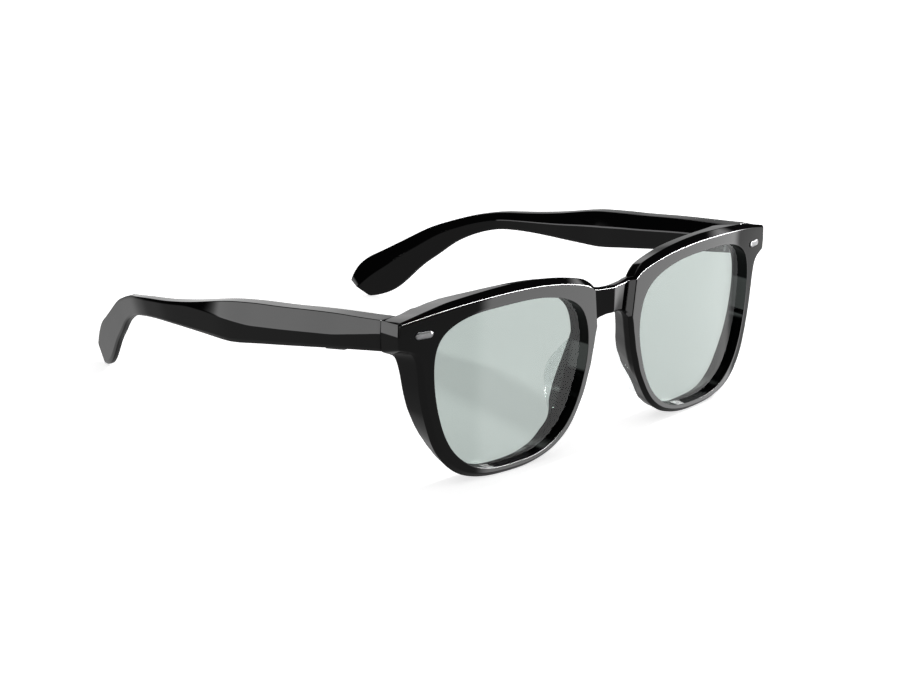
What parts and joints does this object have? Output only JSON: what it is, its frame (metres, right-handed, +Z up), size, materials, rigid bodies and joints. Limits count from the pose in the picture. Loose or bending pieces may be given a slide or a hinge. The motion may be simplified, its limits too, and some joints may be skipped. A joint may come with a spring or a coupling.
{
  "type": "smart glasses",
  "caption": "Smart glasses: a glossy black wrapped front with tinted lenses, and thick folding temples that hold batteries, speakers, microphones and a touch strip.",
  "frame": {"origin": "centre of the underside of the bounding box, on the surface that the rims and temple tips stand on", "axes": "+X to the wearer's left, -Y the way the wearer looks, +Y along the open temples, +Z up"},
  "size_m": [0.1504, 0.1568, 0.0497],
  "materials": {
    "frame_black": "polished black",
    "lens_tint": "light grey-green tint, polished",
    "clear_pad": "clear, polished",
    "silver": "satin bright",
    "hinge_steel": "machined",
    "gold_contact": "gold plated",
    "flex": "amber film",
    "board": "solder mask",
    "battery_foil": "foil pouch",
    "module_grey": "moulded"
  },
  "bodies": {
    "front": {"front_flex": "flex", "front_frame": "frame_black", "left_charge_contact": "gold_contact", "left_hinge_front": "hinge_steel", "left_hinge_pin": "hinge_steel", "left_lens": "lens_tint", "left_nose_pad": "clear_pad", "left_rivet": "silver", "rear_frame": "frame_black", "right_charge_contact": "gold_contact", "right_hinge_front": "hinge_steel", "right_hinge_pin": "hinge_steel", "right_lens": "lens_tint", "right_nose_pad": "clear_pad", "right_rivet": "silver"},
    "left_temple": {"left_battery": "battery_foil", "left_core_wire": "hinge_steel", "left_hinge_temple": "hinge_steel", "left_main_board": "board", "left_microphone": "module_grey", "left_speaker": "module_grey", "left_speaker_grille": "module_grey", "left_temple_cover": "frame_black", "left_temple_shell": "frame_black", "left_touch_sensor": "flex"},
    "right_temple": {"right_battery": "battery_foil", "right_core_wire": "hinge_steel", "right_hinge_temple": "hinge_steel", "right_main_board": "board", "right_microphone": "module_grey", "right_speaker": "module_grey", "right_speaker_grille": "module_grey", "right_temple_cover": "frame_black", "right_temple_shell": "frame_black", "right_touch_sensor": "flex"},
    "capture_button": {"capture_button": "module_grey"},
    "power_switch": {"power_switch": "module_grey"}
  },
  "joints": [
    {"name": "left_temple_fold", "type": "hinge", "parent": "front", "child": "left_temple", "pos_m": [0.0642, -0.06493, 0.04096], "axis": [0, -0.0172, 0.9999], "range_deg": [0, 84]},
    {"name": "right_temple_fold", "type": "hinge", "parent": "front", "child": "right_temple", "pos_m": [-0.0642, -0.06493, 0.04096], "axis": [0, 0.0172, -0.9999], "range_deg": [0, 66]},
    {"name": "capture_press", "type": "slide", "parent": "right_temple", "child": "capture_button", "axis": [0, 0.155, 0.9879], "range_m": [0, 0.0005], "stiffness_N_per_m": 800},
    {"name": "power_slide", "type": "slide", "parent": "right_temple", "child": "power_switch", "axis": [0, 0.9879, -0.155], "range_m": [0, 0.0018]}
  ]
}
